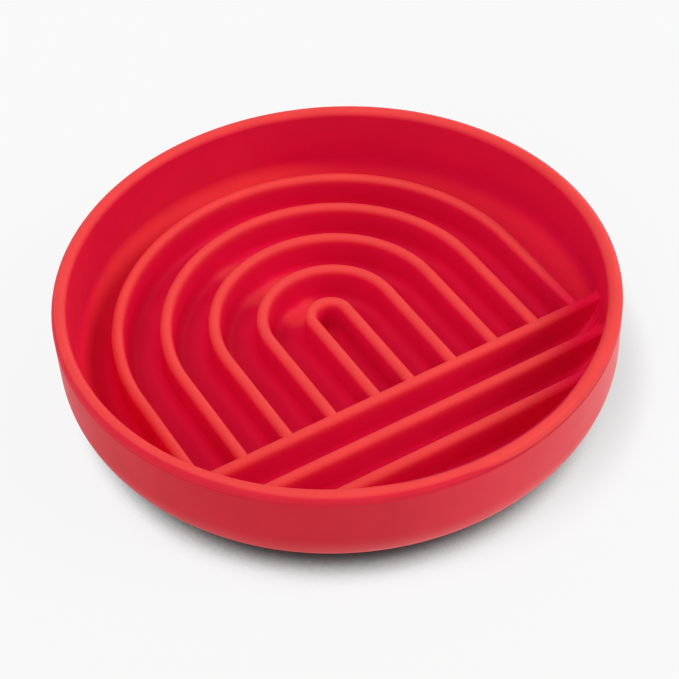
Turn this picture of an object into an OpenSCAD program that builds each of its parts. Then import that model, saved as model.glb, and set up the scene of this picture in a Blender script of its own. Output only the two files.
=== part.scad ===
// Slow feeder bowl, moulded in one piece from soft silicone rubber.
// A low round bowl carries a maze of nested arches and straight bars on its floor.
// The origin is the centre of the resting face, +Z is up and +Y points to the arches' crown.

/* [Bowl] */
// Outside diameter of the side wall and the rim
bowl_d = 206; // [195:1:230]
// Height from the resting face to the top of the rim
bowl_h = 41.6; // [38:0.2:60]
// Thickness of the side wall, which ends in a full round at the rim
wall_t = 5.4; // [4:0.2:7]
// Thickness of the floor, from the resting face to the floor inside
floor_t = 5.6; // [4.6:0.2:8]
// Radius of the cove between the floor inside and the side wall
cove_r = 13.5; // [10:0.5:16]
// Radius of the outer corner between the base and the side wall
corner_r = 20.5; // [17:0.5:24]

/* [Foot] */
// Width of the ring that the bowl stands on
foot_w = 8; // [5:0.5:14]
// Depth of the recess inside that ring
foot_h = 1.6; // [1:0.1:2.4]

/* [Ribs] */
// Height of every rib above the floor
rib_h = 14.6; // [11:0.2:18]
// Width of a rib across its round crest
rib_w = 4.4; // [3.4:0.2:5.4]
// Draft of a rib's sides, in degrees
rib_draft = 3; // [1:0.5:4]
// Radius of the fillet at a rib's foot
rib_fillet = 4; // [2:0.5:4.5]

/* [Arches] */
// Number of nested arches
arch_n = 5; // [3:1:5]
// Radius of the innermost arch, at the middle of the rib
arch_r = 7.2; // [6.6:0.2:9]
// Distance from the bowl's centre back to the centre of the arches
arch_y = 6; // [0:0.5:8]
// Distance from the crown of the outermost arch back to the side wall
crown_gap = 12.4; // [11:0.2:18]

/* [Bars] */
// Number of straight bars
bar_n = 3; // [1:1:3]
// Distance from the bar that closes the arches forward to the side wall
front_gap = 57.6; // [53:0.2:64]
// Distance from one bar to the next
bar_pitch = 15.1; // [13.4:0.1:16]

/* [Hidden] */
$fn = 96;
arch_names = [for (i = [1:arch_n]) str("arch_rib_", i)];
bar_names = [for (i = [1:bar_n]) str("straight_rib_", i)];

// Overrun of cuts past the faces that they cut
cut = 1;
silicone_red = [0.86, 0.1, 0.13];

bowl_r = bowl_d / 2;
rim_r = wall_t / 2;
rim_z = bowl_h - rim_r;
hollow_r = bowl_r - wall_t;
seat_r = hollow_r - cove_r;
cove_z = floor_t + cove_r;
recess_r = bowl_r - corner_r - foot_w;

// The arches share the way from the innermost one back to the gap behind the outermost
arch_pitch = (hollow_r - crown_gap - arch_y - arch_r) / (arch_n - 1);
bar_y = hollow_r - front_gap;

crest_r = rib_w / 2;
crest_z = floor_t + rib_h;
// Where the round crest runs into the drafted side
side_top = [crest_r * cos(rib_draft), crest_z - crest_r * (1 - sin(rib_draft))];
// Where the drafted side would meet the floor without its fillet
side_foot = side_top.x + (side_top.y - floor_t) * tan(rib_draft);
// Where the fillet runs out on the floor, which is also the middle of its arc
toe = side_foot + rib_fillet * (1 - sin(rib_draft)) / cos(rib_draft);
// Where the fillet runs out on the drafted side
fillet_top = [toe - rib_fillet * cos(rib_draft), floor_t + rib_fillet * (1 - sin(rib_draft))];

// The area between a square corner at the origin and a round of radius r inside it.
// It lies in the quadrant of -X and +Y, and reaches past the corner by the overrun.
module corner_gap(r) {
  difference() {
    translate([-r, -cut]) square([r + cut, r + cut]);
    translate([-r, r]) circle(r = r);
  }
}

// Half section of the space inside the bowl, open at the top
module hollow_section() {
  difference() {
    translate([0, floor_t]) square([hollow_r, bowl_h]);
    translate([hollow_r, floor_t]) corner_gap(cove_r);
  }
}

// Half section of the recess under the base
module recess_section() {
  difference() {
    translate([0, -cut]) square([recess_r, foot_h + cut]);
    translate([recess_r, foot_h]) mirror([0, 1]) corner_gap(foot_h);
  }
}

// Half section of the bowl without its ribs
module bowl_section() {
  difference() {
    union() {
      square([bowl_r, rim_z]);
      translate([bowl_r - rim_r, rim_z]) circle(r = rim_r);
    }
    hollow_section();
    recess_section();
    translate([bowl_r, 0]) corner_gap(corner_r);
  }
}

// Section of a rib: round crest, drafted sides and filleted foot
module rib_section() {
  translate([0, crest_z - crest_r]) circle(r = crest_r);
  polygon([
    [-side_foot, floor_t],
    [side_foot, floor_t],
    side_top,
    [-side_top.x, side_top.y]
  ]);
  difference() {
    polygon([
      [-toe, floor_t],
      [toe, floor_t],
      fillet_top,
      [-fillet_top.x, fillet_top.y]
    ]);
    for (side = [-1, 1])
      translate([side * toe, floor_t + rib_fillet]) circle(r = rib_fillet);
  }
}

// A straight bar across the whole bowl, i places in front of the one that closes the arches
module bar_run(i) {
  translate([0, -bar_y - i * bar_pitch, 0])
    rotate([90, 0, 90])
      linear_extrude(bowl_d, center = true) rib_section();
}

// An arch of centre radius r, with two straight legs that end in the first bar
module arch_run(r) {
  translate([0, arch_y, 0]) {
    rotate_extrude(angle = 180)
      intersection() {
        translate([r, 0]) rib_section();
        square([r + toe + cut, bowl_h]);
      }
    for (side = [-1, 1])
      translate([side * r, 0, 0])
        rotate([90, 0, 0])
          linear_extrude(arch_y + bar_y) rib_section();
  }
}

module hollow() {
  rotate_extrude() hollow_section();
}

// Upright side wall with its rounded rim, above the cove
module side_wall() {
  color(silicone_red)
    rotate_extrude()
      intersection() {
        bowl_section();
        translate([seat_r, cove_z]) square([bowl_r, bowl_h]);
      }
}

// Curved corner between the wall and the base: cove inside, large round outside
module base_corner() {
  color(silicone_red)
    rotate_extrude()
      intersection() {
        bowl_section();
        translate([seat_r, 0]) square([bowl_r, cove_z]);
      }
}

// Flat floor inside the cove, above the recess
module floor_disc() {
  color(silicone_red)
    rotate_extrude()
      intersection() {
        bowl_section();
        translate([0, foot_h]) square([seat_r, floor_t]);
      }
}

// Ring that the bowl stands on
module foot_ring() {
  color(silicone_red)
    rotate_extrude()
      intersection() {
        bowl_section();
        square([seat_r, foot_h]);
      }
}

// Arch number i, trimmed to the hollow of the bowl and to the bar that closes it
module arch_rib(i) {
  color(silicone_red)
    difference() {
      intersection() {
        arch_run(arch_r + i * arch_pitch);
        hollow();
      }
      bar_run(0);
    }
}

// Straight bar number i, trimmed to the hollow of the bowl
module straight_rib(i) {
  color(silicone_red)
    intersection() {
      bar_run(i);
      hollow();
    }
}

side_wall();
base_corner();
floor_disc();
foot_ring();
for (i = [0:arch_n - 1])
  arch_rib(i);
for (i = [0:bar_n - 1])
  straight_rib(i);
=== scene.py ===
# Slow feeder bowl of soft red silicone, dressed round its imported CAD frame.
# One turned skin stands for the bowl, and a swept rib stands for each arch and bar of the maze.
import math

import bmesh
import bpy
from mathutils import Matrix, Vector


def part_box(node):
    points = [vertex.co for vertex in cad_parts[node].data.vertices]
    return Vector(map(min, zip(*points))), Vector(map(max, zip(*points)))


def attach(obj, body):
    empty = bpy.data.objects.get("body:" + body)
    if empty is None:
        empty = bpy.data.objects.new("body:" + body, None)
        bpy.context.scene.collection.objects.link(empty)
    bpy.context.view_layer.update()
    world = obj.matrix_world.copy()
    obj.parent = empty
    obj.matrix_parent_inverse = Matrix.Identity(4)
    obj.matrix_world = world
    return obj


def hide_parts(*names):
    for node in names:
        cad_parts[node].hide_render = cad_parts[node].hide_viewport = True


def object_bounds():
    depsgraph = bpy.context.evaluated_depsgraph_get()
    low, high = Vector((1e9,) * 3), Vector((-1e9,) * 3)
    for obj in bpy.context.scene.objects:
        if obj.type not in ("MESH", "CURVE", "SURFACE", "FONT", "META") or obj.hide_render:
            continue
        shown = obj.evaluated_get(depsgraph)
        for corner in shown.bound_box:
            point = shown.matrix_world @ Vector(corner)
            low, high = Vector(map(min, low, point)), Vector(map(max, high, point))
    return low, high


bl_info = {
    "name": "Slow Feeder Bowl",
    "version": (1, 0, 0),
    "blender": (4, 5, 0),
    "location": "3D View > Sidebar > Feeder Bowl",
    "description": "Makes a silicone slow feeder bowl with a maze of moulded ribs",
    "category": "Add Mesh",
}

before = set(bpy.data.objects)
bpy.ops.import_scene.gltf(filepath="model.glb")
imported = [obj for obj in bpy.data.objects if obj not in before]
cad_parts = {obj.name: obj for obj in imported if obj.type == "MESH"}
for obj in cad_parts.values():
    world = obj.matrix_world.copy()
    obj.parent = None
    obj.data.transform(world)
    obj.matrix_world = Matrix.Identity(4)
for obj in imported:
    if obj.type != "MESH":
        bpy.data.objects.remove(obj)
cad_low, cad_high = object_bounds()

MM = 0.001
FRAME_FINENESS = 4
BODY = "root"

SHELL_NODES = ("side_wall", "base_corner", "floor_disc", "foot_ring")
ARCH_NODES = sorted(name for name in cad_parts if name.startswith("arch_rib_"))
BAR_NODES = sorted(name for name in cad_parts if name.startswith("straight_rib_"))


def node_box(name):
    """Lowest and highest corner of a CAD node, to a tenth of a millimetre."""
    return [Vector(round(value, FRAME_FINENESS) for value in corner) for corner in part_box(name)]


# Sizes that the frame gives, where the rib spread is half the width of a rib's foot
wall_low, wall_high = node_box("side_wall")
disc_low, disc_high = node_box("floor_disc")
arch_high = node_box(ARCH_NODES[0])[1]
next_arch_high = node_box(ARCH_NODES[1])[1]
bar_low, bar_high = node_box(BAR_NODES[0])
next_bar_high = node_box(BAR_NODES[1])[1]
RIB_SPREAD = (bar_high.y - bar_low.y) / 2
COVE_RADIUS = wall_low.z - disc_high.z
RIM_RADIUS = (wall_high.x - disc_high.x - COVE_RADIUS) / 2

# Attributes that points carry: the radius of a corner, 1 below the parting line outside, 1 in the
# parting groove, a rib's depth below its crest, how much painted glow brightens it, how much painted
# light pales it, how much painted shade darkens it, and how much dust bloom and painted sheen it has
ROUND = "round"
OUTSIDE = "outside"
GROOVE = "groove"
DEPTH = "depth"
PAINTED_GLOW = "painted_glow"
PAINTED_LIGHT = "painted_light"
PAINTED_SHADE = "painted_shade"
DUST_AND_SHEEN = "dust_and_sheen"

# Options that settings of one kind share
LENGTH = {"unit": "LENGTH", "precision": 4}
FINE_LENGTH = {"unit": "LENGTH", "precision": 6}
COLOUR = {"size": 3, "min": 0, "max": 1, "subtype": "COLOR"}


class BowlSizes(bpy.types.PropertyGroup):
    """Sizes of the bowl without its ribs"""

    outer_radius: bpy.props.FloatProperty(
        name="Outer Radius", description="Radius of the side wall outside",
        default=wall_high.x, **LENGTH)
    height: bpy.props.FloatProperty(
        name="Height", description="Height of the rim above the resting face",
        default=wall_high.z, **LENGTH)
    cove_radius: bpy.props.FloatProperty(
        name="Cove Radius", description="Radius of the round between the floor and the side wall",
        default=COVE_RADIUS, **LENGTH)
    floor_radius: bpy.props.FloatProperty(
        name="Floor Radius", description="Radius of the flat floor inside the cove",
        default=disc_high.x, **LENGTH)
    floor_height: bpy.props.FloatProperty(
        name="Floor Height", description="Height of the floor inside above the resting face",
        default=disc_high.z, **LENGTH)
    corner_radius: bpy.props.FloatProperty(
        name="Corner Radius", description="Radius of the round between the base and the side wall",
        default=20.5 * MM, **LENGTH)
    foot_width: bpy.props.FloatProperty(
        name="Foot Width", description="Width of the ring that the bowl stands on",
        default=8 * MM, **LENGTH)
    foot_depth: bpy.props.FloatProperty(
        name="Foot Depth", description="Depth of the recess inside the foot ring",
        default=disc_low.z, **LENGTH)
    foot_round: bpy.props.FloatProperty(
        name="Foot Round", description="Radius of the foot ring's inner edge",
        default=0.4 * MM, **FINE_LENGTH)
    parting_width: bpy.props.FloatProperty(
        name="Parting Width", description="Width of the fine groove that the mould leaves under the rim",
        default=0.8 * MM, **FINE_LENGTH)
    # The pale lip under the groove is a painted highlight
    lip_height: bpy.props.FloatProperty(
        name="Lip Height", description="Height of the pale lip below that groove",
        default=0.8 * MM, **FINE_LENGTH)
    parting_drop: bpy.props.FloatProperty(
        name="Parting Drop", description="Distance from the rim's widest circle down to that groove",
        default=0.1 * MM, **FINE_LENGTH)
    parting_depth: bpy.props.FloatProperty(
        name="Parting Depth", description="Depth of that groove", default=0.15 * MM, **FINE_LENGTH)


class RibSizes(bpy.types.PropertyGroup):
    """Sizes of the ribs, which are alike in section"""

    height: bpy.props.FloatProperty(
        name="Rib Height", description="Height of the ribs above the floor",
        default=bar_high.z - disc_high.z, **LENGTH)
    width: bpy.props.FloatProperty(
        name="Rib Width", description="Width of a rib across its round crest",
        default=4.4 * MM, **LENGTH)
    draft: bpy.props.FloatProperty(
        name="Draft", description="Lean of a rib's sides", default=math.radians(3), subtype="ANGLE")
    fillet: bpy.props.FloatProperty(
        name="Foot Fillet", description="Radius of the fillet at a rib's foot",
        default=4 * MM, **LENGTH)
    arch_radius: bpy.props.FloatProperty(
        name="First Arch Radius", description="Radius of the innermost arch at the middle of its rib",
        default=arch_high.x - RIB_SPREAD, **LENGTH)
    arch_pitch: bpy.props.FloatProperty(
        name="Arch Pitch", description="Distance from one arch to the next",
        default=next_arch_high.x - arch_high.x, **LENGTH)
    arch_centre: bpy.props.FloatProperty(
        name="Arch Centre", description="Distance from the bowl's centre back to the arches' centre",
        default=arch_high.y - arch_high.x, **LENGTH)
    bar_place: bpy.props.FloatProperty(
        name="First Bar", description="Distance from the bowl's centre forward to the first bar",
        default=RIB_SPREAD - bar_high.y, **LENGTH)
    bar_pitch: bpy.props.FloatProperty(
        name="Bar Pitch", description="Distance from one bar to the next",
        default=bar_high.y - next_bar_high.y, **LENGTH)
    bury: bpy.props.FloatProperty(
        name="Bury", description="How far a rib reaches into the floor and the wall that carry it",
        default=0.9 * MM, **FINE_LENGTH)
    # Painted light and painted glow on the crests: how deep they reach, how much deeper on the sides that
    # face the light, and where the painted shade of the wall narrows and dims them
    painted_light_depth: bpy.props.FloatProperty(
        name="Painted Light Depth", description="Depth of the thin, paler crest as a share of the rib's width",
        default=0.635, subtype="FACTOR")
    sunny_depth: bpy.props.FloatProperty(
        name="Sunny Depth", description="How much deeper it is on the sides that face the light",
        default=0.36, subtype="FACTOR")
    lit_from: bpy.props.FloatProperty(
        name="Lit From", description="Turn anticlockwise from +X that this light comes from",
        default=math.radians(308), subtype="ANGLE")
    lit_centre: bpy.props.FloatVectorProperty(
        name="Lit Centre", description="Middle of the place where light fills the crests",
        size=3, default=(-14 * MM, 8 * MM, 0), subtype="TRANSLATION", precision=4)
    lit_within: bpy.props.FloatProperty(
        name="Lit Within", description="Distance from that middle where the shade of the wall begins",
        default=89 * MM, **LENGTH)
    shade_beyond: bpy.props.FloatProperty(
        name="Shade Beyond", description="Distance from that middle where the shade is full",
        default=107 * MM, **LENGTH)


class SiliconeFinish(bpy.types.PropertyGroup):
    """Colours and surface of the silicone rubber"""

    colour: bpy.props.FloatVectorProperty(
        name="Silicone", description="Colour of the rubber", default=(0.8, 0.0062, 0.06), **COLOUR)
    # Painted glow: the crests and the rim painted a brighter red, less so in the painted shade
    painted_glow_colour: bpy.props.FloatVectorProperty(
        name="Painted Glow", description="Colour of the thin crests and the rim in the shade",
        default=(0.92, 0.011, 0.058), **COLOUR)
    # Painted light: the crests and the rim painted paler where light falls on them
    painted_light_colour: bpy.props.FloatVectorProperty(
        name="Painted Light", description="Colour of the thin crests and the rim where light fills them",
        default=(0.895, 0.065, 0.064), **COLOUR)
    outside_colour: bpy.props.FloatVectorProperty(
        name="Outside", description="Colour of the matter outside, below the parting line",
        default=(0.66, 0.012, 0.032), **COLOUR)
    # Dust bloom and painted sheen: the outside turns paler where it is seen along the surface
    dust_and_sheen_colour: bpy.props.FloatVectorProperty(
        name="Dust And Sheen", description="Colour of the fine dusty bloom outside, seen along the surface",
        default=(0.98, 0.13, 0.125), **COLOUR)
    cloud_size: bpy.props.FloatProperty(
        name="Cloud Size", description="Width of the faint clouds in the pigment",
        default=14 * MM, **LENGTH)
    cloud_depth: bpy.props.FloatProperty(
        name="Cloud Depth", description="How much darker the clouds are",
        default=0.05, subtype="FACTOR")
    roughness: bpy.props.FloatProperty(
        name="Roughness", description="Roughness of the satin surface", default=0.42, subtype="FACTOR")
    roughness_spread: bpy.props.FloatProperty(
        name="Roughness Spread", description="How much the roughness varies with the clouds",
        default=0.06, subtype="FACTOR")
    gloss: bpy.props.FloatProperty(
        name="Gloss", description="Strength of the satin gloss", default=0.08, subtype="FACTOR")
    grain_size: bpy.props.FloatProperty(
        name="Grain Size", description="Width of the fine grain that the blasted mould leaves",
        default=0.35 * MM, **FINE_LENGTH)
    grain_depth: bpy.props.FloatProperty(
        name="Grain Depth", description="Depth of that grain", default=0.006 * MM, **FINE_LENGTH)


class StageSettings(bpy.types.PropertyGroup):
    """Floor, background and lamps"""

    floor_colour: bpy.props.FloatVectorProperty(
        name="Floor", description="Colour of the floor", default=(0.82, 0.82, 0.82), **COLOUR)
    background: bpy.props.FloatVectorProperty(
        name="Background", description="Colour that the camera and reflections see behind the bowl",
        default=(0.947, 0.947, 0.947), **COLOUR)
    sky: bpy.props.FloatProperty(
        name="Sky", description="Strength of the even light from all round", default=0.25)
    floor_share: bpy.props.FloatProperty(
        name="Floor Share", description="How much of the floor's own light and shade the camera sees",
        default=0.08, subtype="FACTOR")


# Node tree helpers


def feed(tree, socket, value):
    """Links a socket to an input, or sets the input to a plain value."""
    if isinstance(value, bpy.types.NodeSocket):
        tree.links.new(value, socket)
    else:
        socket.default_value = value


def place(tree, kind, inputs=None, **settings):
    """Adds a node with its settings, and feeds its inputs by name or by place in the list."""
    node = tree.nodes.new(kind)
    for name, value in settings.items():
        setattr(node, name, value)
    for key, value in (inputs or {}).items():
        feed(tree, node.inputs[key], value)
    return node


def reckon(tree, operation, *terms):
    """The result of a Math node on sockets and numbers."""
    node = place(tree, "ShaderNodeMath", operation=operation)
    for socket, term in zip(node.inputs, terms):
        feed(tree, socket, term)
    return node.outputs[0]


def reckon_vector(tree, operation, *terms):
    """The result of a Vector Math node: a number for DOT_PRODUCT and LENGTH, or else a vector."""
    node = place(tree, "ShaderNodeVectorMath", dict(enumerate(terms)), operation=operation)
    return node.outputs["Value" if operation in ("DOT_PRODUCT", "LENGTH") else "Vector"]


def product(tree, value, *others):
    """The product of several values."""
    for other in others:
        value = reckon(tree, "MULTIPLY", value, other)
    return value


def rest_of(tree, share):
    """What a share leaves of 1."""
    return reckon(tree, "SUBTRACT", 1.0, share)


def largest(tree, value, *others):
    """The largest of several values."""
    for other in others:
        value = reckon(tree, "MAXIMUM", value, other)
    return value


def blend(tree, factor, first, second):
    """A colour between two others."""
    node = place(tree, "ShaderNodeMix", {"Factor": factor}, data_type="RGBA")
    pair = [socket for socket in node.inputs if socket.type == "RGBA"]
    for socket, colour in zip(pair, (first, second)):
        feed(tree, socket, colour)
    return next(socket for socket in node.outputs if socket.type == "RGBA")


def bare_tree(holder):
    """The emptied node tree of a material or a world."""
    holder.use_nodes = True
    holder.node_tree.nodes.clear()
    return holder.node_tree


def new_tree(name, kind, inputs, outputs):
    """A node group with its inputs and outputs, whose names are listed by type, and its end nodes."""
    tree = bpy.data.node_groups.new(name, kind)
    for in_out, sockets in (("INPUT", inputs), ("OUTPUT", outputs)):
        for value_type, labels in sockets.items():
            for label in labels:
                tree.interface.new_socket(
                    name=label, in_out=in_out, socket_type="NodeSocket" + value_type)
    start = tree.nodes.new("NodeGroupInput")
    end = tree.nodes.new("NodeGroupOutput")
    return tree, start.outputs, end.inputs


def finish_piece(tree, mesh, material, end):
    """Ends a geometry tree: smooths it, makes it real and gives it its material."""
    smooth = place(tree, "GeometryNodeSetShadeSmooth", {"Geometry": mesh})
    real = place(tree, "GeometryNodeRealizeInstances", {"Geometry": smooth.outputs[0]})
    done = place(tree, "GeometryNodeSetMaterial", {"Geometry": real.outputs[0], "Material": material})
    tree.links.new(done.outputs[0], end["Geometry"])


def attribute(tree, name):
    """A value that the points carry under a name."""
    node = place(tree, "GeometryNodeInputNamedAttribute", {"Name": name}, data_type="FLOAT")
    return node.outputs[0]


def position(tree):
    """Each point's place."""
    return place(tree, "GeometryNodeInputPosition").outputs[0]


def axes(tree):
    """X, Y and Z of each point."""
    return place(tree, "ShaderNodeSeparateXYZ", {"Vector": position(tree)}).outputs


def moved(tree, geometry, target, **xyz):
    """A geometry whose points go to a Position, or by an Offset, of that X, Y and Z."""
    spot = place(tree, "ShaderNodeCombineXYZ", xyz).outputs[0]
    return place(tree, "GeometryNodeSetPosition", {"Geometry": geometry, target: spot}).outputs[0]


def round_corners(tree, curve, radius, count):
    """A curve with its corners rounded."""
    rounded = place(tree, "GeometryNodeFilletCurve", {
        "Curve": curve, "Radius": radius, "Count": count, "Limit Radius": True}, mode="POLY")
    return rounded.outputs[0]


def rounded_line(tree, line, count):
    """The curve of an edge line, with each corner rounded to the radius that it carries."""
    curve = place(tree, "GeometryNodeMeshToCurve", {"Mesh": line})
    return round_corners(tree, curve.outputs[0], attribute(tree, ROUND), count)


def mark(tree, geometry, name, value):
    """Keeps a value on every point of a geometry, under a name that is read later."""
    marked = place(tree, "GeometryNodeStoreNamedAttribute", {
        "Geometry": geometry, "Name": name, "Value": value}, data_type="FLOAT", domain="POINT")
    return marked.outputs[0]


def soft_step(tree, value, low, high):
    """A value's smooth way from 0 at the low level to 1 at the high one."""
    step = place(tree, "ShaderNodeMapRange", {"Value": value, "From Min": low, "From Max": high},
                 interpolation_type="SMOOTHSTEP")
    return step.outputs[0]


def flat_place(tree):
    """Height of each point, its distance from the Z axis and its unit direction from there."""
    x, y, z = axes(tree)
    flat = place(tree, "ShaderNodeCombineXYZ", {"X": x, "Y": y}).outputs[0]
    return z, reckon_vector(tree, "LENGTH", flat), reckon_vector(tree, "NORMALIZE", flat)


# Where painted light falls on the bowl or misses it, where the seam takes painted shade and where the
# painted sheen is duller, in degrees: the turn anticlockwise from +X that it is about, and how far round
# from there it ends and is full
LIT_COVE = (100, 46, 14)
LIT_WALL = (180, 78, 5)
LIT_EDGE = (300, 37, 14)
DIM_EDGE = (190, 50, 20)
SHADED_EDGE = (271, 32, 16)
LIT_SIDE = (290, 42, 5)
DARK_SEAM_SIDE = (303, 44, 12)
DULL_SIDE = (203, 53, 18)

# Painted light on the rim: the levels where it begins and is full, outside and inside, as shares of
# the rim's radius above its widest circle, and how far the lit, dim and shaded stretches shift them
PALE_OUTSIDE = (0.45, 0.9)
PALE_INSIDE = (-0.2, 0.95)
LIT_SHIFT = (-1.4, -0.9)
DIM_SHIFT = (0.25, 0.08)
SHADED_SHIFT = (1.05, 0.07)
EDGE_PALE = 0.2

# Painted shade inside, under the shaded edge: the levels where it begins and is full, and its depth;
# then the depth of the painted shade in the parting groove
UNDER_EDGE = (-3.0, -0.5)
UNDER_EDGE_DIM = 0.35
SEAM_DIM = 0.4

# Painted light in the cove: how fast it swells on the way up, how much slower where it is lit, how
# sharp the swell is, and how pale it makes the cove in the shade and how much more where it is lit
COVE_PACE = 1.25
COVE_LIT_DELAY = 0.4
COVE_SHARPNESS = 2.0
COVE_PALE = 0.17
COVE_LIT_PALE = 0.44

# Painted light on the wall: the levels where it begins and is full, as shares of the cove's radius
# above the floor, and how pale it makes the wall
WALL_LEVELS = (0.4, 1.0)
WALL_PALE = 0.19

# Outside: how much painted glow and painted light its lit side gets, how much painted glow the strip
# above the parting line gets and how much it is like the matter below, and how much of the dust bloom
# and painted sheen the duller side lacks
SIDE_GLOW = 0.5
SIDE_PALE = 0.22
STRIP_GLOW = 0.35
STRIP_MATTER = 0.85
DULL_SHARE = 0.5


def round_about(tree, towards, spread):
    """1 about a turn round the bowl, and 0 further round."""
    turn, ends, full = (math.radians(angle) for angle in spread)
    along = reckon_vector(tree, "DOT_PRODUCT", towards, (math.cos(turn), math.sin(turn), 0.0))
    return soft_step(tree, along, math.cos(ends), math.cos(full))


def shift_levels(tree, levels, stretch, shift):
    """Two levels, moved as far as a stretch round the bowl shifts them."""
    return [reckon(tree, "MULTIPLY_ADD", stretch, step, level) for step, level in zip(shift, levels)]


def light_rim(tree, start, height, radius, towards):
    """Painted light on the rim, 1 outside its middle, and painted shade on the wall under the shaded
    edge.
    """
    above = reckon(tree, "SUBTRACT", height, start["Equator"])
    share = reckon(tree, "DIVIDE", above, start["Rim Radius"])
    outer = reckon(tree, "GREATER_THAN", radius, start["Rim Middle"])
    lit, painted_shade, shaded = (
        round_about(tree, towards, spread) for spread in (LIT_EDGE, DIM_EDGE, SHADED_EDGE))
    outside = shift_levels(tree, PALE_OUTSIDE, lit, LIT_SHIFT)
    outside = shift_levels(tree, outside, painted_shade, DIM_SHIFT)
    inside = shift_levels(tree, PALE_INSIDE, shaded, SHADED_SHIFT)
    painted_light = place(tree, "ShaderNodeMix", {
        "Factor": outer, "A": soft_step(tree, share, *inside),
        "B": soft_step(tree, share, *outside)}).outputs[0]
    under_edge = reckon(tree, "SUBTRACT", soft_step(tree, share, *UNDER_EDGE), painted_light)
    dimmed = product(tree, rest_of(tree, outer), shaded, under_edge, UNDER_EDGE_DIM)
    return painted_light, outer, dimmed


def light_cove(tree, start, height, inside, towards):
    """How much painted glow fills the cove, and how much painted light it puts on the cove and the wall
    above it.
    """
    lit = round_about(tree, towards, LIT_COVE)
    above = reckon(tree, "SUBTRACT", height, start["Floor Height"])
    above = reckon(tree, "DIVIDE", above, start["Cove Radius"])
    pace = reckon(tree, "MULTIPLY_ADD", lit, -COVE_LIT_DELAY, COVE_PACE)
    way_up = reckon(tree, "MINIMUM", largest(tree, product(tree, above, pace), 0.0), 1.0)
    swell = reckon(tree, "SINE", product(tree, way_up, math.pi))
    filled = product(tree, reckon(tree, "POWER", swell, COVE_SHARPNESS), inside)
    brightness = reckon(tree, "MULTIPLY_ADD", lit, COVE_LIT_PALE, COVE_PALE)
    upright = soft_step(tree, above, *WALL_LEVELS)
    on_wall = product(tree, upright, inside, round_about(tree, towards, LIT_WALL), WALL_PALE)
    return filled, largest(tree, product(tree, filled, brightness), on_wall)


def mark_bowl(tree, start, mesh):
    """Marks painted glow, painted light and painted shade on the turned bowl, its dust bloom with painted
    sheen, and which of it is outside.
    """
    height, radius, towards = flat_place(tree)
    outside, groove = attribute(tree, OUTSIDE), attribute(tree, GROOVE)
    inside = rest_of(tree, outside)
    at_rim, outer, rim_dim = light_rim(tree, start, height, radius, towards)
    in_cove, cove_pale = light_cove(tree, start, height, inside, towards)
    sunny = product(tree, outside, round_about(tree, towards, LIT_SIDE))
    strip = product(tree, outer, inside, STRIP_GLOW)
    painted_glow = largest(tree, at_rim, in_cove, strip, product(tree, sunny, SIDE_GLOW))
    painted_light = largest(tree, at_rim, product(tree, outer, EDGE_PALE), cove_pale)
    side_pale = product(tree, sunny, SIDE_PALE)
    # Painted shade in the parting groove, on the side where it is dark
    seam = product(tree, round_about(tree, towards, DARK_SEAM_SIDE), SEAM_DIM)
    dull = round_about(tree, towards, DULL_SIDE)
    dust_sheen_share = reckon(tree, "MULTIPLY_ADD", dull, -DULL_SHARE, 1.0)
    for name, value in {
        PAINTED_GLOW: painted_glow,
        PAINTED_LIGHT: reckon(tree, "MULTIPLY_ADD", painted_light, inside, side_pale),
        PAINTED_SHADE: reckon(tree, "MULTIPLY_ADD", groove, seam, rim_dim),
        DUST_AND_SHEEN: product(tree, outside, dust_sheen_share),
        OUTSIDE: largest(tree, outside, product(tree, outer, STRIP_MATTER)),
    }.items():
        mesh = mark(tree, mesh, name, value)
    return mesh


def turned_skin_tree():
    """Turns a half section, drawn as edges in the XZ plane, round the Z axis."""
    tree, start, end = new_tree("turned skin", "GeometryNodeTree", {
        "Geometry": ["Geometry"],
        "Float": ["Hub Radius", "Rim Middle", "Rim Radius", "Equator", "Floor Height", "Cove Radius",
                  "Weld"],
        "Int": ["Turns", "Round Points"],
        "Material": ["Material"],
    }, {"Geometry": ["Geometry"]})
    section = rounded_line(tree, start["Geometry"], start["Round Points"])
    here = axes(tree)
    past_hub = reckon(tree, "SUBTRACT", here["X"], start["Hub Radius"])
    profile = moved(tree, section, "Position", X=past_hub, Y=product(tree, here["Z"], -1.0))
    hub = place(tree, "GeometryNodeCurvePrimitiveCircle", {
        "Resolution": start["Turns"], "Radius": start["Hub Radius"]}, mode="RADIUS")
    skin = place(tree, "GeometryNodeCurveToMesh", {
        "Curve": hub.outputs[0], "Profile Curve": profile})
    welded = place(tree, "GeometryNodeMergeByDistance", {
        "Geometry": skin.outputs[0], "Distance": start["Weld"]})
    finish_piece(tree, mark_bowl(tree, start, welded.outputs[0]), start["Material"], end)
    return tree


# Depths of points on a rib's flat sides, which carry the fading edge of the painted light on its crest,
# as shares of the rib's width
FLANK_DEPTHS = (1.6, 1.05, 0.8, 0.62)

# How much narrower the painted light on the crest is in the wall's full painted shade, how much deeper
# the painted glow under it reaches, and how much of that glow the painted shade takes
SHADE_NARROWING = 0.35
GLOW_REACH = 1.6
SHADE_LOSS = 0.7


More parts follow.
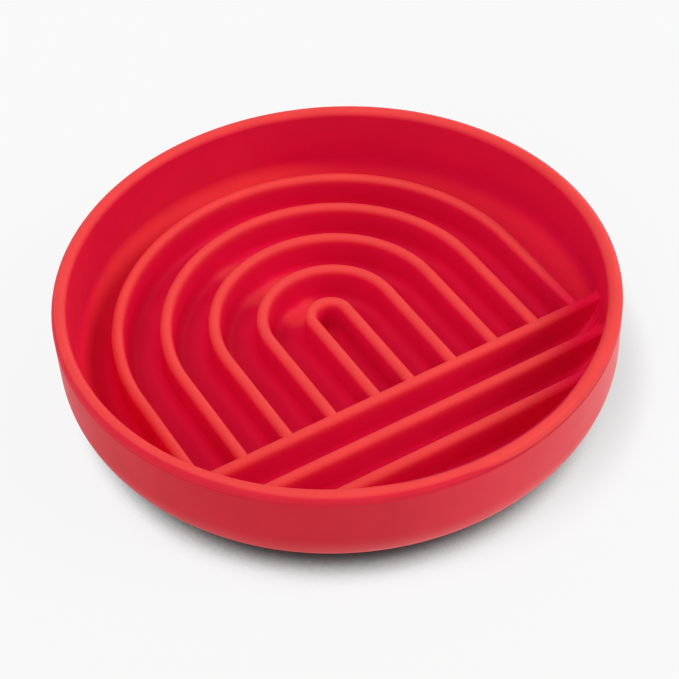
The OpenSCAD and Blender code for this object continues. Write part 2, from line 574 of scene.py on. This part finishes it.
def rib_section(tree, start):
    """Closed section of a rib, of whose corners the upper two and the foot's two are rounded."""
    crest_radius = reckon(tree, "DIVIDE", start["Rib Width"], 2.0)
    half_corner = reckon(tree, "DIVIDE", reckon(tree, "SUBTRACT", math.pi / 2, start["Draft"]), 2.0)
    reach = reckon(tree, "TANGENT", half_corner)
    crest_half = product(tree, crest_radius, reach)
    lean = reckon(tree, "TANGENT", start["Draft"])
    foot_half = reckon(tree, "MULTIPLY_ADD", start["Rib Height"], lean, crest_half)
    toe_half = reckon(tree, "MULTIPLY_ADD", start["Foot Fillet"], reach, foot_half)
    low = reckon(tree, "SUBTRACT", start["Floor Height"], start["Bury"])
    crest = reckon(tree, "ADD", start["Floor Height"], start["Rib Height"])
    depths = [product(tree, start["Rib Width"], share) for share in FLANK_DEPTHS]

    # Corners of one side, from the bottom up: half the width there, the height and the rounding
    corners = [
        (toe_half, low, 0.0),
        (toe_half, start["Floor Height"], 0.0),
        (foot_half, start["Floor Height"], start["Foot Fillet"]),
        *((reckon(tree, "MULTIPLY_ADD", depth, lean, crest_half),
           reckon(tree, "SUBTRACT", crest, depth), 0.0) for depth in depths),
        (crest_half, crest, crest_radius),
    ]
    corner_count = 2 * len(corners)
    index = place(tree, "GeometryNodeInputIndex").outputs[0]
    from_end = reckon(tree, "SUBTRACT", float(corner_count - 1), index)
    corner = reckon(tree, "MINIMUM", index, from_end)
    side = reckon(tree, "SIGN", reckon(tree, "SUBTRACT", index, (corner_count - 1) / 2))

    def by_corner(values):
        """The value of each corner, alike on both sides."""
        switch = place(tree, "GeometryNodeIndexSwitch", data_type="FLOAT")
        # A new switch has two items
        for _ in values[2:]:
            switch.index_switch_items.new()
        feed(tree, switch.inputs[0], corner)
        for socket, value in zip(list(switch.inputs)[1:], values):
            feed(tree, socket, value)
        return switch.outputs[0]

    half, height, rounding = (by_corner(values) for values in zip(*corners))
    line = place(tree, "GeometryNodeMeshLine", {"Count": corner_count}, mode="OFFSET")
    shaped = moved(
        tree, line.outputs[0], "Position",
        X=product(tree, side, half), Y=product(tree, height, -1.0))
    curve = place(tree, "GeometryNodeMeshToCurve", {"Mesh": shaped})
    closed = place(tree, "GeometryNodeSetSplineCyclic", {"Geometry": curve.outputs[0], "Cyclic": True})
    rounded = round_corners(tree, closed.outputs[0], rounding, start["Round Points"])
    below = reckon(tree, "ADD", crest, axes(tree)["Y"])
    depth = reckon(tree, "DIVIDE", below, start["Rib Width"])
    return mark(tree, rounded, DEPTH, depth), crest


def mark_rib(tree, start, mesh):
    """Marks painted light and painted glow on a rib's crest, further down where it faces the light, and
    less in the painted shade of the wall that stands before it."""
    depth = attribute(tree, DEPTH)
    normal = place(tree, "GeometryNodeInputNormal").outputs[0]
    sunny = largest(tree, reckon_vector(tree, "DOT_PRODUCT", normal, start["Lit From"]), 0.0)
    away = reckon_vector(tree, "SUBTRACT", position(tree), start["Lit Centre"])
    flat = reckon_vector(tree, "MULTIPLY", away, (1.0, 1.0, 0.0))
    distance = reckon_vector(tree, "LENGTH", flat)
    shade = soft_step(tree, distance, start["Lit Within"], start["Shade Beyond"])
    narrowing = reckon(tree, "MULTIPLY_ADD", shade, -SHADE_NARROWING, 1.0)
    painted_light_depth = reckon(tree, "MULTIPLY_ADD", sunny, start["Sunny Depth"], start["Painted Light Depth"])
    painted_light_depth = product(tree, painted_light_depth, narrowing)
    glow_depth = product(tree, painted_light_depth, GLOW_REACH)
    # The narrower band carries the painted light, the wider one the painted glow
    painted_glow, glow = (
        rest_of(tree, soft_step(tree, depth, 0.0, limit)) for limit in (painted_light_depth, glow_depth))
    kept = reckon(tree, "MULTIPLY_ADD", shade, -SHADE_LOSS, 1.0)
    marked = mark(tree, mesh, PAINTED_LIGHT, product(tree, painted_glow, rest_of(tree, shade)))
    return mark(tree, marked, PAINTED_GLOW, product(tree, glow, kept))


def keep_in_wall(tree, start, mesh):
    """Stops a rib that runs into the side wall a little way inside the wall."""
    x, y, z = axes(tree)
    end_radius = reckon(tree, "ADD", start["Hollow Radius"], start["Bury"])
    squared = product(tree, end_radius, end_radius)
    left = reckon(tree, "SUBTRACT", squared, product(tree, y, y))
    limit = reckon(tree, "SQRT", largest(tree, left, 0.0))
    width = reckon(tree, "MINIMUM", reckon(tree, "ABSOLUTE", x), limit)
    kept_x = product(tree, reckon(tree, "SIGN", x), width)
    return moved(tree, mesh, "Position", X=kept_x, Y=y, Z=z)


def climb_cove(tree, start, mesh, crest):
    """Lifts the foot of a rib up the cove, so that its fillet runs out on the cove as on the floor."""
    height, radius = flat_place(tree)[:2]
    cove = start["Cove Radius"]
    floor_radius = reckon(tree, "SUBTRACT", start["Hollow Radius"], cove)
    past = largest(tree, reckon(tree, "SUBTRACT", radius, floor_radius), 0.0)
    across = reckon(tree, "MINIMUM", past, cove)
    squared = product(tree, cove, cove)
    left = reckon(tree, "SUBTRACT", squared, product(tree, across, across))
    rise = reckon(tree, "SUBTRACT", cove, reckon(tree, "SQRT", largest(tree, left, 0.0)))
    down = place(tree, "ShaderNodeMapRange", {
        "Value": height, "From Min": start["Floor Height"], "From Max": crest,
        "To Min": 1.0, "To Max": 0.0})
    return moved(tree, mesh, "Offset", Z=product(tree, rise, down.outputs[0]))


def moulded_rib_tree():
    """Sweeps a rib along a path that is drawn as edges in the XY plane."""
    tree, start, end = new_tree("moulded rib", "GeometryNodeTree", {
        "Geometry": ["Geometry"],
        "Float": ["Rib Height", "Rib Width", "Draft", "Foot Fillet", "Bury", "Floor Height",
                  "Hollow Radius", "Cove Radius", "Painted Light Depth", "Sunny Depth", "Lit Within",
                  "Shade Beyond", "Step", "Weld"],
        "Vector": ["Lit From", "Lit Centre"],
        "Int": ["Bend Points", "Round Points"],
        "Material": ["Material"],
    }, {"Geometry": ["Geometry"]})
    bent = rounded_line(tree, start["Geometry"], start["Bend Points"])
    path = place(tree, "GeometryNodeResampleCurve", {
        "Curve": bent, "Length": start["Step"]}, mode="LENGTH")
    section, crest = rib_section(tree, start)
    swept = place(tree, "GeometryNodeCurveToMesh", {
        "Curve": path.outputs[0], "Profile Curve": section, "Fill Caps": True})
    kept = keep_in_wall(tree, start, swept.outputs[0])
    marked = mark_rib(tree, start, climb_cove(tree, start, kept, crest))
    welded = place(tree, "GeometryNodeMergeByDistance", {
        "Geometry": marked, "Distance": start["Weld"]})
    finish_piece(tree, welded.outputs[0], start["Material"], end)
    return tree


# Piece helpers

# Fineness: steps round the bowl, points on an arch's bend and on a section's round, how near
# points are welded, and the least angle of an edge that stays sharp
TURNS = 256
BEND_POINTS = 64
ROUND_POINTS = 20
WELD = 0.004 * MM
SHARP_ANGLE = math.radians(40)

# Radius of the circle that the bowl's half section is swept round
HUB_RADIUS = 1 * MM


def edge_line(name, spots, marks):
    """A mesh of edges from spot to spot, where each mark is an attribute with a value for each spot."""
    mesh = bpy.data.meshes.new(name)
    edges = [(i, i + 1) for i in range(len(spots) - 1)]
    mesh.from_pydata(spots, edges, [])
    for label, values in marks.items():
        mesh.attributes.new(label, "FLOAT", "POINT").data.foreach_set("value", values)
    return mesh


def add_object(name, data):
    """A new object in the scene."""
    made = bpy.data.objects.new(name, data)
    bpy.context.scene.collection.objects.link(made)
    return made


def make_piece(name, line, tree, values, replaced):
    """Runs a tree on an edge line, keeps the result as a plain mesh and sets it in the frame."""
    piece = add_object(name, line)
    modifier = piece.modifiers.new(tree.name, "NODES")
    modifier.node_group = tree
    for item in tree.interface.items_tree:
        if item.in_out == "INPUT" and item.name in values:
            modifier[item.identifier] = values[item.name]
    evaluated = piece.evaluated_get(bpy.context.evaluated_depsgraph_get())
    mesh = bpy.data.meshes.new_from_object(evaluated)
    if not mesh.polygons:
        raise RuntimeError(f"the tree {tree.name} made no faces for {name}")
    piece.modifiers.remove(modifier)
    piece.data = mesh
    mesh.name = name
    bpy.data.meshes.remove(line)
    close_up(mesh)
    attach(piece, BODY)
    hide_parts(*replaced)


def close_up(mesh):
    """Turns a closed mesh's faces outwards, and keeps its real edges sharp."""
    shape = bmesh.new()
    shape.from_mesh(mesh)
    bmesh.ops.recalc_face_normals(shape, faces=shape.faces)
    shape.to_mesh(mesh)
    shape.free()
    mesh.set_sharp_from_angle(angle=SHARP_ANGLE)


def own_fields(settings):
    """The fields of a settings group, without the two that every group has."""
    return [field for field in settings.bl_rna.properties if field.identifier not in ("rna_type", "name")]


def by_label(settings):
    """The values of a settings group under their labels, which trees' inputs share."""
    return {field.name: getattr(settings, field.identifier) for field in own_fields(settings)}


def get_tree(name, maker):
    """A node group by name, made on first use."""
    return bpy.data.node_groups.get(name) or maker()


# Silicone rubber

SILICONE = "silicone rubber"

# Gleams where light gathers on the floor and on the fillets behind the inner crowns: middle and
# half sizes on the floor
GLEAMS = (
    ((-5.5 * MM, 23 * MM), (7 * MM, 6 * MM)),
    ((1.5 * MM, 26.5 * MM), (5.5 * MM, 4.5 * MM)),
    ((-9 * MM, 40.5 * MM), (15 * MM, 4.5 * MM)),
    ((-1 * MM, 43 * MM), (12 * MM, 4 * MM)),
    ((-14 * MM, 59.5 * MM), (11 * MM, 4 * MM)),
)
# How far up they reach, the share of them that is full, how pale they are, and how dim
GLEAM_RISE = 5 * MM
GLEAM_CORE = 0.3
GLEAM_PALE = 0.55
GLEAM_DIM = 0.02

# Clouds and grain: how much fine detail they hold, and the noise where clouds begin and are full
CLOUD_DETAIL = 3.0
GRAIN_DETAIL = 2.0
CLOUD_LOW = 0.35
CLOUD_HIGH = 0.65

# How silicone and its coat bend light, how rough that coat is, and how closely the dust bloom and
# painted sheen keep to what is seen along the surface
SILICONE_IOR = 1.41
COAT_IOR = 1.18
COAT_ROUGHNESS = 0.45
GRAZING_SHEEN_SHARPNESS = 3.0


def gleam(tree, spot, middle, half):
    """How much of a soft oval of light falls on a spot."""
    away = reckon_vector(tree, "SUBTRACT", spot, (*middle, disc_high.z))
    scaled = reckon_vector(tree, "MULTIPLY", away, [1 / size for size in (*half, GLEAM_RISE)])
    return rest_of(tree, soft_step(tree, reckon_vector(tree, "LENGTH", scaled), GLEAM_CORE, 1.0))


def silicone_skin_group():
    """Pigment with faint clouds, painted glow, painted light and painted shade, uneven gloss and a fine
    grain.
    """
    tree, start, end = new_tree("silicone skin", "ShaderNodeTree", {
        "Color": ["Colour", "Painted Glow Colour", "Painted Light Colour", "Outside Colour"],
        "Float": ["Cloud Scale", "Cloud Depth", "Roughness", "Roughness Spread", "Grain Scale"],
    }, {"Color": ["Colour"], "Float": ["Dust And Sheen", "Roughness", "Height"]})
    spot = place(tree, "ShaderNodeTexCoord").outputs["Object"]
    painted_glow, painted_light, outside, dust_and_sheen, painted_shade = (
        place(tree, "ShaderNodeAttribute", attribute_name=name).outputs["Fac"]
        for name in (PAINTED_GLOW, PAINTED_LIGHT, OUTSIDE, DUST_AND_SHEEN, PAINTED_SHADE))
    cloud = place(tree, "ShaderNodeTexNoise", {
        "Vector": spot, "Scale": start["Cloud Scale"], "Detail": CLOUD_DETAIL}).outputs[0]
    clouds = place(tree, "ShaderNodeMapRange", {
        "Value": cloud, "From Min": CLOUD_LOW, "From Max": CLOUD_HIGH}).outputs[0]
    gleams = gleam(tree, spot, *GLEAMS[0])
    for other in GLEAMS[1:]:
        gleams = reckon(tree, "ADD", gleam(tree, spot, *other), gleams)
    painted_light = largest(tree, painted_light, product(tree, gleams, GLEAM_PALE))
    pigment = blend(tree, outside, start["Colour"], start["Outside Colour"])
    pigment = blend(tree, painted_glow, pigment, start["Painted Glow Colour"])
    pigment = blend(tree, painted_light, pigment, start["Painted Light Colour"])
    shade = rest_of(tree, product(tree, clouds, start["Cloud Depth"]))
    shade = reckon(tree, "SUBTRACT", shade, reckon(tree, "MULTIPLY_ADD", gleams, GLEAM_DIM, painted_shade))
    clouded = place(tree, "ShaderNodeVectorMath", {0: pigment, "Scale": shade}, operation="SCALE")
    wander = reckon(tree, "SUBTRACT", clouds, 0.5)
    rough = reckon(tree, "MULTIPLY_ADD", wander, start["Roughness Spread"], start["Roughness"])
    grain = place(tree, "ShaderNodeTexNoise", {
        "Vector": spot, "Scale": start["Grain Scale"], "Detail": GRAIN_DETAIL})
    for label, value in {
        "Colour": clouded.outputs[0],
        "Dust And Sheen": dust_and_sheen,
        "Roughness": rough,
        "Height": grain.outputs[0],
    }.items():
        tree.links.new(value, end[label])
    return tree


def silicone_material(finish):
    """Satin moulded silicone rubber, made once for the whole bowl."""
    made = bpy.data.materials.get(SILICONE)
    if made:
        return made
    material = bpy.data.materials.new(SILICONE)
    tree = bare_tree(material)
    skin = place(tree, "ShaderNodeGroup", node_tree=get_tree("silicone skin", silicone_skin_group))
    for label, value in {
        "Colour": (*finish.colour, 1.0),
        "Painted Glow Colour": (*finish.painted_glow_colour, 1.0),
        "Painted Light Colour": (*finish.painted_light_colour, 1.0),
        "Outside Colour": (*finish.outside_colour, 1.0),
        "Cloud Scale": 1 / finish.cloud_size,
        "Cloud Depth": finish.cloud_depth,
        "Roughness": finish.roughness,
        "Roughness Spread": finish.roughness_spread,
        "Grain Scale": 1 / finish.grain_size,
    }.items():
        skin.inputs[label].default_value = value
    grain = place(tree, "ShaderNodeBump", {
        "Height": skin.outputs["Height"], "Distance": finish.grain_depth})
    # Painted sheen with the dust bloom: the colour turns paler where the surface is seen along its length
    facing = place(tree, "ShaderNodeLayerWeight").outputs["Facing"]
    along = product(tree, reckon(tree, "POWER", facing, GRAZING_SHEEN_SHARPNESS), skin.outputs["Dust And Sheen"])
    dusted_and_sheened = blend(tree, along, skin.outputs["Colour"], (*finish.dust_and_sheen_colour, 1.0))
    rubber = place(tree, "ShaderNodeBsdfPrincipled", {
        "Base Color": dusted_and_sheened, "Roughness": skin.outputs["Roughness"],
        "Normal": grain.outputs[0], "IOR": SILICONE_IOR, "Specular IOR Level": finish.gloss,
        "Coat Weight": skin.outputs["Dust And Sheen"], "Coat Roughness": COAT_ROUGHNESS, "Coat IOR": COAT_IOR})
    output = place(tree, "ShaderNodeOutputMaterial", {"Surface": rubber.outputs[0]})
    output.is_active_output = True
    return material


# Lamps, soft shade and camera

# Soft lamps: name, strength, and in degrees the turn anticlockwise from +X, the rise above the
# floor and the softness
SOFT_LAMPS = (
    ("right softbox", 1.34, 326, 38, 30),
    ("left softbox", 0.90, 212, 35, 60),
    ("high softbox", 0.78, 180, 75, 40),
    ("low left glow", 0.44, 120, 15, 40),
    ("low right glow", 0.60, 30, 15, 40),
)

# Soft shade on the floor: the turn and rise in degrees that it looks to for light, how far, and
# how open the floor is there where it is black and where it is clear
SOFT_SHADES = (
    (55, 60, 30 * MM, 0.12, 0.433),
    (150, 0, 25 * MM, -0.165, 0.872),
)

# Camera at the photograph's angle, how far aside and above the picture's middle the centre of the
# rim's widest circle stands, and the nearest and farthest that it shows, as shares of its distance
CAMERA_AZIMUTH = math.radians(-28.581)
CAMERA_ELEVATION = math.radians(45.008)
CAMERA_ROLL = math.radians(-3.157)
CAMERA_DISTANCE = 662.014 * MM
CAMERA_LENS = 96.907
CAMERA_ASIDE = -1.26 * MM
CAMERA_ABOVE = 19.8 * MM
CAMERA_CLIP = (0.1, 20.0)


def direction(turn, rise):
    """The way to a turn anticlockwise from +X and a rise above the floor, both in degrees."""
    turn, rise = math.radians(turn), math.radians(rise)
    level = math.cos(rise)
    return Vector((level * math.cos(turn), level * math.sin(turn), math.sin(rise)))


def aim_camera(scene):
    """The camera's place and turn, from its angles round the bowl."""
    target = Vector((0, 0, wall_high.z - RIM_RADIUS))
    level = math.cos(CAMERA_ELEVATION)
    back = Vector((
        math.sin(CAMERA_AZIMUTH) * level, -math.cos(CAMERA_AZIMUTH) * level, math.sin(CAMERA_ELEVATION)))
    right = Vector((0, 0, 1)).cross(back).normalized()
    up = back.cross(right)
    roll = Matrix.Rotation(CAMERA_ROLL, 3, back)
    right, up = roll @ right, roll @ up
    lens = bpy.data.cameras.new("camera")
    lens.lens = CAMERA_LENS
    lens.clip_start, lens.clip_end = (share * CAMERA_DISTANCE for share in CAMERA_CLIP)
    camera = add_object("camera", lens)
    turn = Matrix((right, up, back)).transposed().to_4x4()
    where = target + back * CAMERA_DISTANCE - right * CAMERA_ASIDE - up * CAMERA_ABOVE
    camera.matrix_world = Matrix.Translation(where) @ turn
    scene.camera = camera


# Operators, one for each group of like pieces and one for the stage


class FEEDER_OT_bowl(bpy.types.Operator):
    """Turn the bowl with its rim, cove, foot ring and the mould's parting groove"""

    bl_idname = "feeder_bowl.bowl"
    bl_label = "Turn Bowl"

    # How much of the groove's width a side takes, and how much the lip looks like what is below it
    # The lip is painted paler than what is below it: a painted highlight
    flank_share = 0.25
    lip_share = 0.3

    def execute(self, context):
        sizes, finish = context.scene.feeder_bowl, context.scene.feeder_finish
        outer = sizes.outer_radius
        hollow = sizes.floor_radius + sizes.cove_radius
        recess = outer - sizes.corner_radius - sizes.foot_width
        rim = (outer - hollow) / 2
        equator = sizes.height - rim
        parting = equator - sizes.parting_drop
        lip_top = parting - sizes.parting_width
        flank = sizes.parting_width * self.flank_share
        bottom = outer - sizes.parting_depth
        # Radius, height, radius of the corner, share outside and share in the groove
        section = [
            (0, sizes.foot_depth, 0, 1, 0),
            (recess, sizes.foot_depth, sizes.foot_depth - sizes.foot_round, 1, 0),
            (recess, 0, sizes.foot_round, 1, 0),
            (outer, 0, sizes.corner_radius, 1, 0),
            (outer, lip_top - sizes.lip_height, 0, 1, 0),
            (outer, lip_top, 0, self.lip_share, 0),
            (bottom, lip_top + flank, 0, 0, 1),
            (bottom, parting - flank, 0, 0, 1),
            (outer, parting, 0, 0, 0),
            (outer, sizes.height, rim, 0, 0),
            (hollow, sizes.height, rim, 0, 0),
            (hollow, sizes.floor_height, sizes.cove_radius, 0, 0),
            (0, sizes.floor_height, 0, 0, 0),
        ]
        radii, heights, rounds, outsides, grooves = zip(*section)
        spots = [(radius, 0, height) for radius, height in zip(radii, heights)]
        line = edge_line("bowl section", spots, {ROUND: rounds, OUTSIDE: outsides, GROOVE: grooves})
        make_piece("bowl_shell", line, get_tree("turned skin", turned_skin_tree), {
            **by_label(sizes),
            "Hub Radius": HUB_RADIUS,
            "Turns": TURNS,
            "Round Points": ROUND_POINTS,
            "Rim Middle": outer - rim,
            "Rim Radius": rim,
            "Equator": equator,
            "Weld": WELD,
            "Material": silicone_material(finish),
        }, SHELL_NODES)
        return {"FINISHED"}


def make_rib(scene, node, line, step):
    """Sweeps the rib that stands for a node along a line, in steps of that length."""
    bowl, rib = scene.feeder_bowl, scene.feeder_ribs
    make_piece(node + "_skin", line, get_tree("moulded rib", moulded_rib_tree), {
        **by_label(bowl),
        **by_label(rib),
        "Hollow Radius": bowl.floor_radius + bowl.cove_radius,
        "Lit From": (math.cos(rib.lit_from), math.sin(rib.lit_from), 0.0),
        "Step": step,
        "Bend Points": BEND_POINTS,
        "Round Points": ROUND_POINTS,
        "Weld": WELD,
        "Material": silicone_material(scene.feeder_finish),
    }, [node])


class FEEDER_OT_arches(bpy.types.Operator):
    """Sweep the nested arches, whose straight legs end in the first bar"""

    bl_idname = "feeder_bowl.arches"
    bl_label = "Sweep Arches"

    finest_step = 0.5 * MM
    coarsest_step = 1.5 * MM
    step_share = 0.05

    def execute(self, context):
        rib = context.scene.feeder_ribs
        for number, node in enumerate(ARCH_NODES):
            radius = rib.arch_radius + number * rib.arch_pitch
            crown = rib.arch_centre + radius
            spots = [
                (-radius, -rib.bar_place, 0), (-radius, crown, 0),
                (radius, crown, 0), (radius, -rib.bar_place, 0)]
            line = edge_line("arch path", spots, {ROUND: [0, radius, radius, 0]})
            step = min(max(radius * self.step_share, self.finest_step), self.coarsest_step)
            make_rib(context.scene, node, line, step)
        return {"FINISHED"}


class FEEDER_OT_bars(bpy.types.Operator):
    """Sweep the straight bars, whose ends climb the cove and run into the side wall"""

    bl_idname = "feeder_bowl.bars"
    bl_label = "Sweep Bars"

    step = 1 * MM

    def execute(self, context):
        bowl, rib = context.scene.feeder_bowl, context.scene.feeder_ribs
        for number, node in enumerate(BAR_NODES):
            y = -rib.bar_place - number * rib.bar_pitch
            inner_edge = abs(y) - RIB_SPREAD
            end_radius = bowl.floor_radius + bowl.cove_radius + rib.bury
            half = math.sqrt(end_radius**2 - inner_edge**2)
            line = edge_line("bar path", [(-half, y, 0), (half, y, 0)], {ROUND: [0, 0]})
            make_rib(context.scene, node, line, self.step)
        return {"FINISHED"}


class FEEDER_OT_stage(bpy.types.Operator):
    """Set the floor, the lamps, the background and the camera"""

    bl_idname = "feeder_bowl.stage"
    bl_label = "Set Stage"

    floor_reach = 3.0
    shade_samples = 16

    def execute(self, context):
        stage = context.scene.feeder_stage
        self.lay_floor(stage)
        self.light_world(context.scene, stage)
        for lamp in SOFT_LAMPS:
            self.hang_lamp(*lamp)
        aim_camera(context.scene)
        context.scene.view_settings.view_transform = "Standard"
        return {"FINISHED"}

    def lay_floor(self, stage):
        """A matt floor, which the camera sees as backdrop paper with soft shade on it."""
        reach = self.floor_reach
        mesh = bpy.data.meshes.new("floor")
        mesh.from_pydata(
            [(x * reach, y * reach, cad_low.z) for x, y in ((-1, -1), (1, -1), (1, 1), (-1, 1))],
            [], [(0, 1, 2, 3)])
        floor = add_object("floor", mesh)
        material = bpy.data.materials.new("studio floor")
        tree = bare_tree(material)
        matt = place(tree, "ShaderNodeBsdfDiffuse", {"Color": (*stage.floor_colour, 1.0)})
        shades = [self.soft_shade(tree, *shade) for shade in SOFT_SHADES]
        paper = place(tree, "ShaderNodeEmission", {
            "Color": (*stage.background, 1.0), "Strength": product(tree, *shades)})
        light = stage.sky + sum(
            strength / math.pi * direction(turn, rise).z
            for _, strength, turn, rise, _ in SOFT_LAMPS)
        lit = place(tree, "ShaderNodeBsdfDiffuse", {
            "Color": (*(min(share / light, 1.0) for share in stage.background), 1.0)})
        seen = place(tree, "ShaderNodeMixShader", {
            0: stage.floor_share, 1: paper.outputs[0], 2: lit.outputs[0]})
        path = place(tree, "ShaderNodeLightPath").outputs
        both = place(tree, "ShaderNodeMixShader", {
            0: path["Is Camera Ray"], 1: matt.outputs[0], 2: seen.outputs[0]})
        place(tree, "ShaderNodeOutputMaterial", {"Surface": both.outputs[0]})
        mesh.materials.append(material)

    def soft_shade(self, tree, turn, rise, reach, black, clear):
        """How open the floor is towards a turn and a rise, from black under the bowl to clear."""
        towards = place(tree, "ShaderNodeCombineXYZ", dict(zip("XYZ", direction(turn, rise))))
        open_share = place(tree, "ShaderNodeAmbientOcclusion", {
            "Distance": reach, "Normal": towards.outputs[0]}, samples=self.shade_samples)
        return soft_step(tree, open_share.outputs["AO"], black, clear)

    def light_world(self, scene, stage):
        """Even light from all round, before a backdrop that the camera and reflections see."""
        world = bpy.data.worlds.new("studio")
        scene.world = world
        tree = bare_tree(world)
        path = place(tree, "ShaderNodeLightPath").outputs
        seen = largest(
            tree, *(path[f"Is {kind} Ray"] for kind in ("Camera", "Glossy", "Transmission")))
        sky = place(tree, "ShaderNodeBackground", {"Color": (1.0, 1.0, 1.0, 1.0), "Strength": stage.sky})
        backdrop = place(tree, "ShaderNodeBackground", {"Color": (*stage.background, 1.0)})
        both = place(tree, "ShaderNodeMixShader", {0: seen, 1: sky.outputs[0], 2: backdrop.outputs[0]})
        place(tree, "ShaderNodeOutputWorld", {"Surface": both.outputs[0]})

    def hang_lamp(self, name, strength, turn, rise, softness):
        """A broad far lamp, whose light comes from that turn and rise."""
        lamp = bpy.data.lights.new(name, "SUN")
        lamp.energy = strength
        lamp.angle = math.radians(softness)
        holder = add_object(name, lamp)
        holder.rotation_mode = "QUATERNION"
        holder.rotation_quaternion = direction(turn, rise).to_track_quat("Z", "Y")


class FEEDER_PT_panel(bpy.types.Panel):
    """Sizes, finish and steps of the slow feeder bowl"""

    bl_idname = "FEEDER_PT_panel"
    bl_label = "Slow Feeder Bowl"
    bl_space_type = "VIEW_3D"
    bl_region_type = "UI"
    bl_category = "Feeder Bowl"

    def draw(self, context):
        for name in SETTINGS:
            group = getattr(context.scene, name)
            box = self.layout.box()
            for field in own_fields(group):
                box.prop(group, field.identifier)
        for step in STEPS:
            self.layout.operator(step.bl_idname)


SETTINGS = {
    "feeder_bowl": BowlSizes,
    "feeder_ribs": RibSizes,
    "feeder_finish": SiliconeFinish,
    "feeder_stage": StageSettings,
}
STEPS = (FEEDER_OT_bowl, FEEDER_OT_arches, FEEDER_OT_bars, FEEDER_OT_stage)
CLASSES = (*SETTINGS.values(), *STEPS, FEEDER_PT_panel)


def register():
    for made in CLASSES:
        bpy.utils.register_class(made)
    for name, group in SETTINGS.items():
        setattr(bpy.types.Scene, name, bpy.props.PointerProperty(type=group))


def unregister():
    for name in SETTINGS:
        delattr(bpy.types.Scene, name)
    for made in reversed(CLASSES):
        bpy.utils.unregister_class(made)


def main():
    register()
    bpy.ops.feeder_bowl.bowl()
    bpy.ops.feeder_bowl.arches()
    bpy.ops.feeder_bowl.bars()
    bpy.ops.feeder_bowl.stage()


if __name__ == "__main__":
    main()
